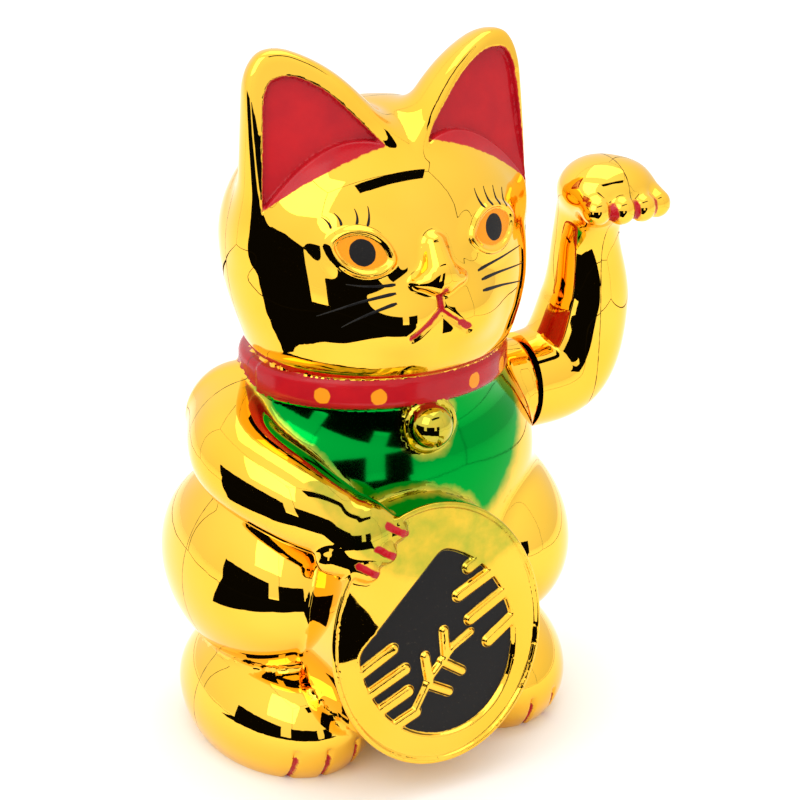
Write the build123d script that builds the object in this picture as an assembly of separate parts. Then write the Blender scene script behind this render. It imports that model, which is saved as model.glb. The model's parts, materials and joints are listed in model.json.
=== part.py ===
from build123d import *
import math
import os

# A beckoning cat figurine: a hollow two-shell body that sits on a base plate, and one raised arm that
# rocks on a shaft through the shoulder. A magnet on the pendulum below the shaft swings over a coil,
# which a small circuit drives from one cell.
#
# Millimetres. The cat faces -Y, its raised left arm is on the +X side, and +Z is up. The origin is on
# the surface that the cat stands on, below the shaft.

# ---- body: each rounded form is an ellipsoid, given as its centre and its half axes ----
WALL = 1.8
TORSO = (0, -2, 60), (36, 25, 30)
BELLY = (0, 3, 34), (36, 32, 30)
RUMP = (0, 10, 7), (38.5, 27.5, 18)
NECK = (0, -1, 82), (27, 24, 16)
THIGH = (25.5, 3, 38), (19.5, 30, 21)
FOOT = (23.5, -0.5, 7), (19.4, 28.6, 16)
SKULL = (0, -0.5, 110.5), (32.8, 26.5, 27.2)
CHEEKS = (0, -4, 99.5), (31, 26, 21.5)

EAR_AT = (18.5, -8, 114)
EAR_YAW = 15
EAR_LEAN = 6
EAR_ROOT_R = 15.5
EAR_TIP_R = 8
EAR_RISE = 28
EAR_DEPTH_RATIO = 0.85
EAR_FACE_Y = -6
EAR_FACE_SLOPE = 9

COLLAR_Z = 82.5
COLLAR_HALF = (29.4, 26.7)
COLLAR_TALL = 7.5
COLLAR_ROUND = 2
BELL_AT = (0, -27, 76.5)
BELL_R = 4.6

COIN_AT = (-4.5, -36, 34.5)
COIN_HALF = (24, 28)
COIN_TILT = 6
COIN_FACE = 3
COIN_REACH = 15
COIN_RIM = 1.6
COIN_SINK = 0.8

# the limbs: points with the radius at each
COIN_ARM = [(-28, 7, 69.5, 12.5), (-34, -8, 65.5, 9.6), (-25, -25, 57.5, 8.5), (-13.5, -33, 52, 6.5)]
WAVE_ARM = [(33, 0, 70, 10.6), (47, 0, 74, 10.8), (51, -2, 88, 9.6), (50, -4, 104, 6.8), (49, -8, 114, 8.2)]
PAW = [(47, -13, 115, 7.7), (54, -14, 115, 7.4)]

# ---- the raised arm and what it turns on ----
AXIS_Y = 0
AXIS_Z = 70
SHAFT_R = 1.5
SHAFT_ENDS = (-1.6, 45.5)
RUN_GAP = 0.04
SEAT_GAP = 0.02
SHOULDER_R = 10.5
SHOULDER_X = 35.6
SHAFT_HOLE_R = 3
ARM_GAP = 0.6
ARM_WALL = 1.6
ARM_SPLIT_X = 49.5
ARM_ROOT_X = SHOULDER_X + ARM_GAP
ARM_HUB_R = 4.5
ARM_HUB_END = 45.6

# ---- base, battery bay and door ----
PLATE = 2.5
FIT = 0.3
CELL_R = 7.2
CELL_Y = 14
CELL_Z = 9.4
CELL_BODY = (-26.5, 22.9)
CELL_NUB_R = 2.7
CELL_NUB = 1.0
BAY_R = 7.6
BAY_WALL = 1.2
BAY_HALF = 28
DOOR_Z = (0.3, 1.9)
DOOR_GAP = 0.3
DOOR_PIN_X = -28.7
DOOR_PIN_Z = 1.1
DOOR_PIN_R = 0.7
DOOR_PINS_Y = (9.5, 18.5)
DOOR_PIN_LONG = 3
DOOR_RELIEF = (1.1, 0.6)
BASE_SCREWS = [(28.5, -18.5), (-28.5, -18.5), (14, 28), (-14, 28)]
BOSS_R = 3.2
BOSS_TOP = 14

# ---- circuit board and switch ----
BOARD = (-30, -3, -14, 3.4)
BOARD_Z = (7.5, 8.9)
POST_R = 2.2
BOARD_SCREWS = [(-28, -12), (-5, -12), (-28, 1.4), (-5, 1.4)]
SWITCH_AT = (-15, -9)
SWITCH_SIZE = (10, 5.5)
SWITCH_Z = (3.3, 7.5)
KNOB = (2.6, 2.8)
KNOB_Z = (0.6, 5.6)
SWITCH_TRAVEL = 3

# ---- pivot frame, pendulum, coil ----
FRAME_X = (0, 24)
FRAME_THICK = 2
FRAME_Y = (-11, 3.4)
UPRIGHT_Y = (-5, 3.2)
FRAME_TOP = 4.5
FRAME_SCREWS = [(3.5, -9), (20.5, -9)]
PENDULUM_X = 12
PENDULUM_Y = -3.6
MAGNET_R = 6.2
MAGNET_Z = (21.5, 26.5)
CUP_WALL = 1.2
CUP_TOP = 28.2
WEIGHT_Y = (1.05, 8.5)
WEIGHT_Z = (30, 46)
WEIGHT_HALF_X = 6
COIL_FLANGE_R = 7.2
COIL_R = 6.2
COIL_TUBE_R = 3.4
COIL_CORE_R = 2.4
COIL_Z = (4.5, 18.2)
COIL_FLANGE = 1

WIRE_R = 0.45
LEAD_R = 0.25
TAB_Y = (3.7, 7)
TAB_Z = (8.5, 10.5)
SHEET = 0.4

BIG = 200
LOW = Align.MIN
MID = Align.CENTER


# ---- helpers ----
def join(parts):
    """One solid from a list of overlapping ones."""
    return parts[0].fuse(*parts[1:])


def block(x, y, z):
    """A box from its lowest and highest x, y and z."""
    box = Box(x[1] - x[0], y[1] - y[0], z[1] - z[0], align=(LOW, LOW, LOW))
    return Pos(x[0], y[0], z[0]) * box


def rod(at, radius, z):
    """An upright cylinder at x, y between two heights."""
    return Pos(at[0], at[1], z[0]) * Cylinder(radius, z[1] - z[0], align=(MID, MID, LOW))


def rod_x(radius, x, y=AXIS_Y, z=AXIS_Z):
    """A cylinder along X, on the arm's axis unless told otherwise."""
    bar = Cylinder(radius, x[1] - x[0], align=(MID, MID, LOW))
    return Plane(origin=(x[0], y, z), x_dir=(0, 1, 0), z_dir=(1, 0, 0)) * bar


def rod_y(radius, y, x, z):
    """A cylinder along Y."""
    bar = Cylinder(radius, y[1] - y[0], align=(MID, MID, LOW))
    return Plane(origin=(x, y[0], z), x_dir=(1, 0, 0), z_dir=(0, 1, 0)) * bar


def egg(form, shrink=0.0):
    """An ellipsoid, with every half axis made smaller by shrink."""
    centre, half = form
    return Pos(*centre) * scale(Sphere(1), by=tuple(a - shrink for a in half))


def both_sides(solid):
    """A solid and its mirror image across the cat's middle plane."""
    return [solid, mirror(solid, Plane.YZ)]


def limb(points, shrink=0.0):
    """A tapering limb: a ball at each point, and a cone between neighbours."""
    parts = []
    for a, b in zip(points, points[1:]):
        way = Vector(*b[:3]) - Vector(*a[:3])
        cone = Cone(a[3] - shrink, b[3] - shrink, way.length, align=(MID, MID, LOW))
        parts.append(Plane(origin=a[:3], z_dir=way) * cone)
        parts.append(Plane(origin=a[:3], z_dir=way) * Sphere(a[3] - shrink))
    parts.append(Plane(origin=points[-1][:3], z_dir=way) * Sphere(points[-1][3] - shrink))
    return join(parts)


def screw(at, shank_r, shank_z, head_r, head_z, turned=False):
    """A pan-head screw along Z with a cross slot; turned has its head at the bottom."""
    solid = join([rod(at, shank_r, shank_z), rod(at, head_r, head_z)])
    depth = (head_z[1] - head_z[0]) * 0.5
    low = head_z[0] if turned else head_z[1] - depth
    for width, length in ((head_r * 1.2, 0.5), (0.5, head_r * 1.2)):
        solid -= Pos(at[0], at[1], low) * Box(width, length, depth, align=(MID, MID, LOW))
    return solid


def wire(route, radius):
    """A round wire along straight runs with the largest tangent arcs that fit them."""
    points = [Vector(*p) for p in route]
    radii = []
    for a, b, c in zip(points, points[1:], points[2:]):
        turn = math.radians((b - a).get_angle(c - b))
        shorter = min((b - a).length, (c - b).length)
        radii.append(0.45 * shorter / math.tan(turn / 2))
    print("wire arcs", [round(r, 1) for r in radii])
    path = FilletPolyline(*points, radius=radii)
    start = Plane(origin=points[0], z_dir=points[1] - points[0])
    return sweep(start * Circle(radius), path=path)


# ---- the body ----
def ear(shrink=0.0):
    """The cat's left ear: a flattened round-topped cone, sliced to a sloping front face."""
    root_r, tip_r = EAR_ROOT_R - shrink, EAR_TIP_R - shrink
    horn = join([
        Sphere(root_r),
        Cone(root_r, tip_r, EAR_RISE, align=(MID, MID, LOW)),
        Pos(0, 0, EAR_RISE) * Sphere(tip_r),
    ])
    horn = Pos(0, 3, 0) * scale(horn, by=(1, EAR_DEPTH_RATIO, 1))
    face = Rot(X=EAR_FACE_SLOPE * -1) * Box(80, 40, 2 * BIG, align=(MID, Align.MAX, MID))
    horn -= Pos(0, EAR_FACE_Y + shrink, 10) * face
    return Pos(*EAR_AT) * Rot(Z=EAR_YAW) * Rot(Y=EAR_LEAN) * horn


def coin(shrink=0.0):
    """The oval coin with its sunk field, and the block behind it that joins it to the belly."""
    front = COIN_FACE - shrink
    plate = extrude(Ellipse(COIN_HALF[0] - shrink, COIN_HALF[1] - shrink), front + COIN_REACH)
    plate = Pos(0, 0, -COIN_REACH) * plate
    field = extrude(Ellipse(COIN_HALF[0] - shrink - COIN_RIM, COIN_HALF[1] - shrink - COIN_RIM), COIN_SINK)
    plate -= Pos(0, 0, front - COIN_SINK) * field
    return Pos(*COIN_AT) * Rot(X=90 - COIN_TILT) * plate


def collar():
    """The neck band, an oval ring seen as a disc because the neck fills it."""
    band = extrude(Ellipse(*COLLAR_HALF), COLLAR_TALL)
    band = fillet(band.edges(), COLLAR_ROUND)
    return Pos(0, 0, COLLAR_Z - COLLAR_TALL / 2) * band


def shoulder(shrink=0.0):
    """The round boss at the left shoulder that the arm turns against."""
    return rod_x(SHOULDER_R - shrink, (10, SHOULDER_X - shrink))


def body_form(shrink=0.0):
    """The whole body as one solid; shrunk by the wall, it is the hollow inside."""
    parts = [egg(form, shrink) for form in (TORSO, BELLY, RUMP, NECK, SKULL, CHEEKS)]
    for form in (THIGH, FOOT):
        parts += both_sides(egg(form, shrink))
    parts += both_sides(ear(shrink))
    parts += [limb(COIN_ARM, shrink), coin(shrink), shoulder(shrink)]
    return join(parts)


def body_shells():
    """The front and back halves of the hollow body, open at the bottom."""
    outside = join([body_form(), collar(), Pos(*BELL_AT) * Sphere(BELL_R)])
    hollow = outside - body_form(WALL) - rod_x(SHAFT_HOLE_R, (20, BIG))
    z = (PLATE + FIT, BOSS_TOP)
    for x, y in BASE_SCREWS:
        web = block((x - 0.8, x + 0.8), (y, y + 12) if y > 0 else (y - 12, y), z)
        boss = join([rod((x, y), BOSS_R, z), web]) & outside
        hollow = hollow + boss - rod((x, y), 1.3, (0, BOSS_TOP - 2))
    above = block((-BIG, BIG), (-BIG, BIG), (0, BIG))
    hollow = hollow & above
    front = hollow & block((-BIG, BIG), (-BIG, 0), (0, BIG))
    back = hollow & block((-BIG, BIG), (0, BIG), (0, BIG))
    return front, back


# ---- the base ----
def bay_form(radius, half):
    """The battery bay's shape: upright sides with an arched roof."""
    sides = block((-half, half), (CELL_Y - radius, CELL_Y + radius), (0, CELL_Z))
    return join([sides, rod_x(radius, (-half, half), CELL_Y, CELL_Z)])


def base_plate():
    """The plate that closes the body, with the battery bay, board posts and screw holes."""
    outline = (body_form(WALL + FIT) & Plane.XY).faces()[0]
    plate = extrude(outline, PLATE, dir=(0, 0, 1))
    bay = bay_form(BAY_R + BAY_WALL, BAY_HALF + BAY_WALL) & body_form(WALL + FIT)
    plate = join([plate, bay] + [rod(at, POST_R, (1, BOARD_Z[0])) for at in BOARD_SCREWS])
    plate -= bay_form(BAY_R, BAY_HALF)
    for x in (-BAY_HALF, BAY_HALF):
        plate -= block((x - 0.8, x + 0.8), (TAB_Y[0] - 1, CELL_Y), (TAB_Z[0] - 0.2, TAB_Z[1] + 0.2))
    for y in DOOR_PINS_Y:
        pin_slot = block((DOOR_PIN_X - 0.9, -BAY_HALF), (y - 1.8, y + 1.8), (0, 2))
        plate -= pin_slot
    relief_x, relief_z = DOOR_RELIEF
    relief_y = BAY_R + FIT
    plate -= block((-BAY_HALF - relief_x, -BAY_HALF), (CELL_Y - relief_y, CELL_Y + relief_y), (0, relief_z))
    plate -= block((BAY_HALF, 31), (CELL_Y - 3.4, CELL_Y + 3.4), (0, 2))
    for at in BOARD_SCREWS:
        plate -= rod(at, 0.95, (3, BOARD_Z[0]))
    for at in FRAME_SCREWS:
        plate -= rod(at, 0.95, (0.6, PLATE))
    for at in BASE_SCREWS:
        plate -= rod(at, 1.6, (0, PLATE))
        plate -= rod(at, 2.9, (0, 1.3))
    slot_x = KNOB[0] / 2 + SWITCH_TRAVEL / 2 + 0.4
    slot_y = KNOB[1] / 2 + 0.3
    x, y = SWITCH_AT
    plate -= block((x - slot_x, x + slot_x), (y - slot_y, y + slot_y), (0, PLATE))
    return plate


def battery_door():
    """The flush door under the cell: two round pins at one end, a thumb tab at the other."""
    half_x, half_y = BAY_HALF - DOOR_GAP, BAY_R - DOOR_GAP
    door = block((-half_x, half_x), (CELL_Y - half_y, CELL_Y + half_y), DOOR_Z)
    door += block((half_x, 30.6), (CELL_Y - 3, CELL_Y + 3), DOOR_Z)
    for y in DOOR_PINS_Y:
        ends = (y - DOOR_PIN_LONG / 2, y + DOOR_PIN_LONG / 2)
        pin = rod_y(DOOR_PIN_R, ends, DOOR_PIN_X, DOOR_PIN_Z)
        arm = block((DOOR_PIN_X, -half_x), ends, (DOOR_PIN_Z - 0.4, DOOR_PIN_Z + 0.4))
        door = join([door, pin, arm])
    for i in range(5):
        x = half_x - 6 - 1.6 * i
        door -= block((x, x + 0.8), (CELL_Y - 5, CELL_Y + 5), (DOOR_Z[0], DOOR_Z[0] + 0.4))
    return door


def battery_cell():
    """One AA cell, its raised end towards -X."""
    low, high = CELL_BODY
    can = fillet(rod_x(CELL_R, (low, high), CELL_Y, CELL_Z).edges(), 0.6)
    nub = rod_x(CELL_NUB_R, (low - CELL_NUB, low + 0.5), CELL_Y, CELL_Z)
    return join([can, nub])


def contact_plate(side):
    """The sheet-metal plate at one end of the bay, with the tab that its wire is soldered to."""
    x = (BAY_HALF - SHEET, BAY_HALF) if side > 0 else (-BAY_HALF, SHEET - BAY_HALF)
    plate = block(x, (CELL_Y - 5, CELL_Y + 5), (4, 15))
    return join([plate, block(x, (TAB_Y[0], CELL_Y), TAB_Z)])


def negative_spring():
    """The plate at the flat end of the cell, with its coil spring."""
    reach = BAY_HALF - SHEET - CELL_BODY[1] - 0.4
    coil = Helix(1.3, reach, 3.2, center=(BAY_HALF - SHEET, CELL_Y, CELL_Z), direction=(-1, 0, 0))
    start = Plane(origin=coil @ 0, z_dir=coil % 0)
    spring = sweep(start * Circle(0.3), path=coil, is_frenet=True)
    spring &= block((0, BAY_HALF - SHEET + 0.1), (0, 30), (0, 30))
    return join([contact_plate(1), spring])


# ---- electronics ----
def circuit_board():
    """The board on its four posts."""
    x0, x1, y0, y1 = BOARD
    board = block((x0, x1), (y0, y1), BOARD_Z)
    board = fillet(board.edges().filter_by(Axis.Z), 1)
    for at in BOARD_SCREWS:
        board -= rod(at, 1.05, BOARD_Z)
    return board


def transistor():
    """A round-backed transistor on three legs."""
    x, y, z = -9, -8, BOARD_Z[1]
    case = rod((x, y), 2.3, (z + 3, z + 7.8)) & block((x - 3, x + 3), (y - 3, y + 1.4), (z, z + 8))
    legs = [block((x + i - 0.2, x + i + 0.2), (y - 0.2, y + 0.2), (z, z + 3.2)) for i in (-1.2, 0, 1.2)]
    return join([case] + legs)


def capacitor():
    """A round can capacitor standing on two legs, its top scored with a cross."""
    at, z = (-20, -5), BOARD_Z[1]
    can = fillet(rod(at, 2.5, (z + 0.5, z + 8.5)).edges(), 0.4)
    can -= Pos(at[0], at[1], z + 8.3) * Box(3, 0.3, 1)
    can -= Pos(at[0], at[1], z + 8.3) * Box(0.3, 3, 1)
    legs = [rod((at[0] + i, at[1]), 0.25, (z, z + 0.8)) for i in (-1, 1)]
    return join([can] + legs)


def resistor():
    """An axial resistor with its two legs bent down to the board."""
    y, z = -11, BOARD_Z[1]
    body = fillet(rod_x(1.15, (-19, -13), y, z + 2).edges(), 0.5)
    legs = [rod_x(0.28, (-21.5, -10.5), y, z + 2)]
    legs += [rod((x, y), 0.28, (z, z + 2.28)) for x in (-21.22, -10.78)]
    return join([body] + legs)


def switch_body():
    """The slide switch under the board, open below for its knob."""
    x, y = SWITCH_AT
    dx, dy = SWITCH_SIZE[0] / 2, SWITCH_SIZE[1] / 2
    case = block((x - dx, x + dx), (y - dy, y + dy), SWITCH_Z)
    slot_x = KNOB[0] / 2 + SWITCH_TRAVEL / 2 + 0.2
    slot_y = KNOB[1] / 2 + 0.15
    return case - block((x - slot_x, x + slot_x), (y - slot_y, y + slot_y), (0, KNOB_Z[1] + 0.2))


def switch_slider():
    """The switch's knob, in its off place at the -X end of its travel, with a ribbed end."""
    x, y = SWITCH_AT[0] - SWITCH_TRAVEL / 2, SWITCH_AT[1]
    knob = block((x - KNOB[0] / 2, x + KNOB[0] / 2), (y - KNOB[1] / 2, y + KNOB[1] / 2), KNOB_Z)
    for dx in (-0.65, 0, 0.65):
        knob -= Pos(x + dx, y, KNOB_Z[0]) * Box(0.3, KNOB[1], 0.5)
    return knob


# ---- the mechanism ----
def pivot_frame():
    """The yoke that carries the shaft: a foot plate and two uprights with round tops."""
    foot = block(FRAME_X, FRAME_Y, (PLATE, FRAME_TOP))
    parts = [foot]
    for x in (FRAME_X[0], FRAME_X[1] - FRAME_THICK):
        across = (x, x + FRAME_THICK)
        parts.append(block(across, UPRIGHT_Y, (FRAME_TOP - 1, AXIS_Z)))
        parts.append(rod_x(3.2, across))
    frame = join(parts) - rod_x(SHAFT_R + RUN_GAP, (-5, 30))
    for at in FRAME_SCREWS:
        frame -= rod(at, 1.05, (PLATE, FRAME_TOP))
    window = block((-5, 30), (UPRIGHT_Y[0] + 2, UPRIGHT_Y[1] - 2), (24, 58))
    return frame - window


def clip_places():
    """Where along the shaft the two retaining clips sit."""
    left = FRAME_X[0] - 0.3
    right = FRAME_X[1] + 0.3
    return [(left - 0.6, left), (right, right + 0.6)]


def arm_shaft():
    """The steel shaft, grooved for its two clips and drilled for the screw that holds the arm."""
    shaft = rod_x(SHAFT_R, SHAFT_ENDS)
    for low, high in clip_places():
        shaft -= rod_x(SHAFT_R + 1, (low - 0.05, high + 0.05)) - rod_x(1.1, (low - 1, high + 1))
    return shaft - rod_x(0.75, (SHAFT_ENDS[1] - 6, BIG))


def shaft_clips():
    """Two open retaining clips, one outside each upright."""
    clips = []
    for x in clip_places():
        ring = rod_x(3, x) - rod_x(1.12, x)
        clips.append(ring - block(x, (-0.9, 0.9), (AXIS_Z, AXIS_Z + 5)))
    return Compound(children=clips)


def pendulum_lever():
    """The hub on the shaft, the bar below it and the cup that holds the magnet."""
    x = PENDULUM_X
    hub = rod_x(4.2, (x - 4, x + 4))
    bar = block((x - 1.6, x + 1.6), (PENDULUM_Y - 2.6, WEIGHT_Y[0] - 0.05), (CUP_TOP - 1, AXIS_Z - 2))
    cup = rod((x, PENDULUM_Y), MAGNET_R + CUP_WALL, (MAGNET_Z[0] + 1, CUP_TOP))
    lever = join([hub, bar, cup])
    lever -= rod_x(SHAFT_R + SEAT_GAP, (0, 30))
    return lever - rod((x, PENDULUM_Y), MAGNET_R + SEAT_GAP, (0, MAGNET_Z[1] + SEAT_GAP))


def magnet():
    """The disc magnet at the foot of the pendulum."""
    disc = rod((PENDULUM_X, PENDULUM_Y), MAGNET_R, MAGNET_Z)
    return chamfer(disc.edges(), 0.3)


def counterweight():
    """The steel block behind the bar that balances the arm's forward reach."""
    half = WEIGHT_HALF_X
    weight = block((PENDULUM_X - half, PENDULUM_X + half), WEIGHT_Y, WEIGHT_Z)
    return chamfer(weight.edges().filter_by(Axis.X), 0.8)


def coil_bobbin():
    """The flanged spool that the coil is wound on, standing on the pivot frame."""
    at = (PENDULUM_X, PENDULUM_Y)
    low, high = COIL_Z
    spool = join([
        rod(at, COIL_TUBE_R, (low, high)),
        rod(at, COIL_FLANGE_R, (low, low + COIL_FLANGE)),
        rod(at, COIL_FLANGE_R, (high - COIL_FLANGE, high)),
    ])
    return spool - rod(at, COIL_CORE_R + SEAT_GAP, (low, high))


def coil_winding():
    """The winding between the spool's flanges."""
    at = (PENDULUM_X, PENDULUM_Y)
    z = (COIL_Z[0] + COIL_FLANGE, COIL_Z[1] - COIL_FLANGE)
    return rod(at, COIL_R, z) - rod(at, COIL_TUBE_R + SEAT_GAP, z)


def coil_leads():
    """The winding's two thin ends, led over to the board."""
    z0, z1 = COIL_Z[0] + COIL_FLANGE, BOARD_Z[1]
    leads = []
    for angle, rise, end_y in ((225, 10, -7), (245, 11, -9.3)):
        reach = (COIL_R + COIL_FLANGE_R) / 2
        x = PENDULUM_X + reach * math.cos(math.radians(angle))
        y = PENDULUM_Y + reach * math.sin(math.radians(angle))
        route = [(x, y, z0), (x, y, rise), (1, end_y - 1.5, rise + 2)]
        route += [(-4.6, end_y, rise + 1.5), (-4.6, end_y, z1)]
        leads.append(wire(route, LEAD_R))
    return Compound(children=leads)


def arm_halves():
    """The raised arm's two hollow halves; the inner one has the hub that sits on the shaft."""
    outside = join([limb(WAVE_ARM), limb(PAW)])
    inside = join([limb(WAVE_ARM, ARM_WALL), limb(PAW, ARM_WALL)])
    outside &= block((ARM_ROOT_X, BIG), (-BIG, BIG), (0, BIG))
    inside &= block((ARM_ROOT_X + ARM_WALL, BIG), (-BIG, BIG), (0, BIG))
    shell = outside - inside
    inner = shell & block((0, ARM_SPLIT_X), (-BIG, BIG), (0, BIG))
    outer = shell & block((ARM_SPLIT_X, BIG), (-BIG, BIG), (0, BIG))
    inner = join([inner, rod_x(ARM_HUB_R, (ARM_ROOT_X + 0.5, ARM_HUB_END))])
    return inner - rod_x(SHAFT_R + SEAT_GAP, (30, BIG)), outer


def arm_screw():
    """The screw and washer in the shaft's end that keep the arm on."""
    head = rod_x(2.4, (ARM_HUB_END, ARM_HUB_END + 1.4))
    solid = join([head, rod_x(0.73, (SHAFT_ENDS[1] - 5, ARM_HUB_END + 1))])
    return solid - Pos(ARM_HUB_END + 1.4, AXIS_Y, AXIS_Z) * Box(1.2, 0.5, 3.4)


# ---- fasteners and wires ----
def base_screws():
    """Four screws up through the base plate into the body's bosses."""
    return Compound(children=[
        screw(at, 1.25, (1, BOSS_TOP - 3), 2.7, (0.2, 1.3), turned=True) for at in BASE_SCREWS
    ])


def board_screws():
    """Four screws down through the board into its posts."""
    top = BOARD_Z[1]
    return Compound(children=[screw(at, 0.9, (3.5, top + 0.5), 1.9, (top, top + 1.2)) for at in BOARD_SCREWS])


def frame_screws():
    """Two screws down through the pivot frame's foot into the base plate."""
    top = FRAME_TOP
    return Compound(children=[screw(at, 0.9, (0.9, top + 0.5), 1.9, (top, top + 1.2)) for at in FRAME_SCREWS])


def battery_wire(side, solder_at, turn_x):
    """The lead from one contact's tab, along the bay's wall and down onto the board."""
    x = side * (BAY_HALF - SHEET)
    y, z, top = TAB_Y[0] + 0.75, (TAB_Z[0] + TAB_Z[1]) / 2, BOARD_Z[1]
    end_x, end_y = solder_at
    route = [(x, y, z), (turn_x, y, z), ((turn_x + end_x) / 2, 3, z + 3), (end_x, end_y, z + 3.5)]
    return wire(route + [(end_x, end_y, top)], WIRE_R)


front_shell, back_shell = body_shells()
arm_inner_half, arm_outer_half = arm_halves()

nodes = {
    "front_shell": front_shell,
    "back_shell": back_shell,
    "base_plate": base_plate(),
    "battery_door": battery_door(),
    "battery_cell": battery_cell(),
    "negative_spring": negative_spring(),
    "positive_contact": contact_plate(-1),
    "circuit_board": circuit_board(),
    "transistor": transistor(),
    "capacitor": capacitor(),
    "resistor": resistor(),
    "switch_body": switch_body(),
    "switch_slider": switch_slider(),
    "pivot_frame": pivot_frame(),
    "arm_shaft": arm_shaft(),
    "shaft_clips": shaft_clips(),
    "pendulum_lever": pendulum_lever(),
    "magnet": magnet(),
    "counterweight": counterweight(),
    "coil_bobbin": coil_bobbin(),
    "coil_winding": coil_winding(),
    "coil_core": rod((PENDULUM_X, PENDULUM_Y), COIL_CORE_R, (COIL_Z[0], COIL_Z[1] + 0.4)),
    "coil_leads": coil_leads(),
    "arm_inner_half": arm_inner_half,
    "arm_outer_half": arm_outer_half,
    "arm_screw": arm_screw(),
    "base_screws": base_screws(),
    "frame_screws": frame_screws(),
    "board_screws": board_screws(),
    "black_wire": battery_wire(1, (-9, -2), -1),
    "red_wire": battery_wire(-1, (-15, -2), -21),
}

os.makedirs("parts", exist_ok=True)
for name, solid in nodes.items():
    export_step(solid, f"parts/{name}.step")
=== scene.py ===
import json
import math

import bmesh
import bpy
import numpy as np
from mathutils import Matrix, Vector


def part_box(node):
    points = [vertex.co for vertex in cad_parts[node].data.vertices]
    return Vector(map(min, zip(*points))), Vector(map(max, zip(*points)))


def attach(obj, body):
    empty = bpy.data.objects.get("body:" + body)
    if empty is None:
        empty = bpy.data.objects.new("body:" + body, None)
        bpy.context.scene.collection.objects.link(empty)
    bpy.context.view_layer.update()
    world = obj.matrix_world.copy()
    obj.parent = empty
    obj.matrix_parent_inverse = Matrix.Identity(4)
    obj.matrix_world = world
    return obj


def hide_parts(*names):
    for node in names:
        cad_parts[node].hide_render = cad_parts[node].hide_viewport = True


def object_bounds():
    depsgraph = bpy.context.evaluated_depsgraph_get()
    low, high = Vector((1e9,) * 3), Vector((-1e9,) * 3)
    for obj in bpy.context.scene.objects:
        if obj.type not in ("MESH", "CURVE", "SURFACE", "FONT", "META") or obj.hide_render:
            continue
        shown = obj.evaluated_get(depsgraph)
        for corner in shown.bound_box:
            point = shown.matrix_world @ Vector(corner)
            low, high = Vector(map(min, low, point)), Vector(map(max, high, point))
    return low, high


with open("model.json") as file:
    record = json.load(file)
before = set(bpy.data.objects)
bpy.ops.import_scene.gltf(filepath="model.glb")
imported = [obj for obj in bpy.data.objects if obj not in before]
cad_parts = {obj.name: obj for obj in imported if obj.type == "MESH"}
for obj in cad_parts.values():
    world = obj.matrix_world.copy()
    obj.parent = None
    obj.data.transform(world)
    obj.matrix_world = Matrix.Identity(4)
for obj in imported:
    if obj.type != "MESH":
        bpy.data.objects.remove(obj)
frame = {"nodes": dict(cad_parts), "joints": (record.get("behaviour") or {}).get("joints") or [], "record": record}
cad_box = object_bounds()
scene = bpy.context.scene

# The cat's plated shells, arm and painted marks are made here from smooth forms, each a signed distance
# in millimetres in the frame's own axes: the cat faces -Y and its raised arm is on the +X side.
MM = 0.001
BIG = 400.0
BODY_STEP = 0.9
ARM_STEP = BODY_STEP * 0.75
BODY_INSIDE_STEP = 2.4
ARM_INSIDE_STEP = 2.0

WALL = 1.8
ARM_WALL = 1.6
HUB_R = 4.5
HUB_END = 45.6
BORE_R = 1.55
SHAFT_HOLE_R = 3.0
ARM_ROOT_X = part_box("arm_inner_half")[0].x / MM
ARM_SPLIT_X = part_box("arm_outer_half")[0].x / MM
SHAFT = next(j for j in frame["joints"] if j["name"] == "arm_wave")["pos_m"]
AXIS_Y, AXIS_Z = SHAFT[1] / MM, SHAFT[2] / MM
TOP_Z = cad_box[1].z / MM
SHOULDER_X = ARM_ROOT_X - 0.6

EAR_YAW = math.radians(15)
EAR_AT = (19.2, -8.0)
EAR_FACE = -6.0
EAR_SLOPE = 0.16
EAR_DEPTH = 8.5
COIN_AT = (-4.5, -36, 34.5)
COIN_TILT = math.radians(6)
COIN_HALF = (24.0, 28.0)
COLLAR_Z = 83.0
COLLAR_TALL = 6.6
BELL_AT = (-0.8, -27.6, 75.8)
BELL_R = 4.6
EYES = [(-14.6, 113.2, -0.30, 4.7, 3.0), (15.1, 114.4, 0.12, 5.2, 3.2)]
PUPIL_HALF = (2.4, 2.6)
NOSE_Z = 105.0
BODY_SPAN = ((-47, -43, -13), (47, 41, TOP_Z + 3))
ARM_SPAN = ((20, -28, 54), (64, 14, 125))
ROD_START_X = 10
DARK = (0.003, 0.003, 0.003, 1)
SEAM_GREY = (0.01, 0.01, 0.01, 1)
SEAM_DARK = (0.05, 0.025, 0.005, 1)


# ---- signed distances ----
def length(v):
    """The length of each row's vector."""
    return np.sqrt((v * v).sum(-1))


def ellipsoid(p, centre, radii):
    """Roughly the distance to an ellipsoid, and exactly nought on it."""
    q = p - np.array(centre, float)
    r = np.array(radii, float)
    k0 = length(q / r)
    k1 = length(q / (r * r)) + 1e-9
    return k0 * (k0 - 1.0) / k1


def round_cone(p, a, b, ra, rb):
    """A capsule whose radius runs from ra at a to rb at b."""
    a, b = np.array(a, float), np.array(b, float)
    ab = b - a
    t = np.clip((p - a) @ ab / (ab @ ab), 0.0, 1.0)
    return length(p - a - t[:, None] * ab) - (ra + (rb - ra) * t)


def smin(a, b, k):
    """The union of two forms, melted together over a width k."""
    h = np.clip(0.5 + 0.5 * (b - a) / k, 0.0, 1.0)
    return b + (a - b) * h - k * h * (1.0 - h)


def smax(a, b, k):
    """The overlap of two forms, its edge rounded over a width k."""
    return -smin(-a, -b, k)


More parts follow.
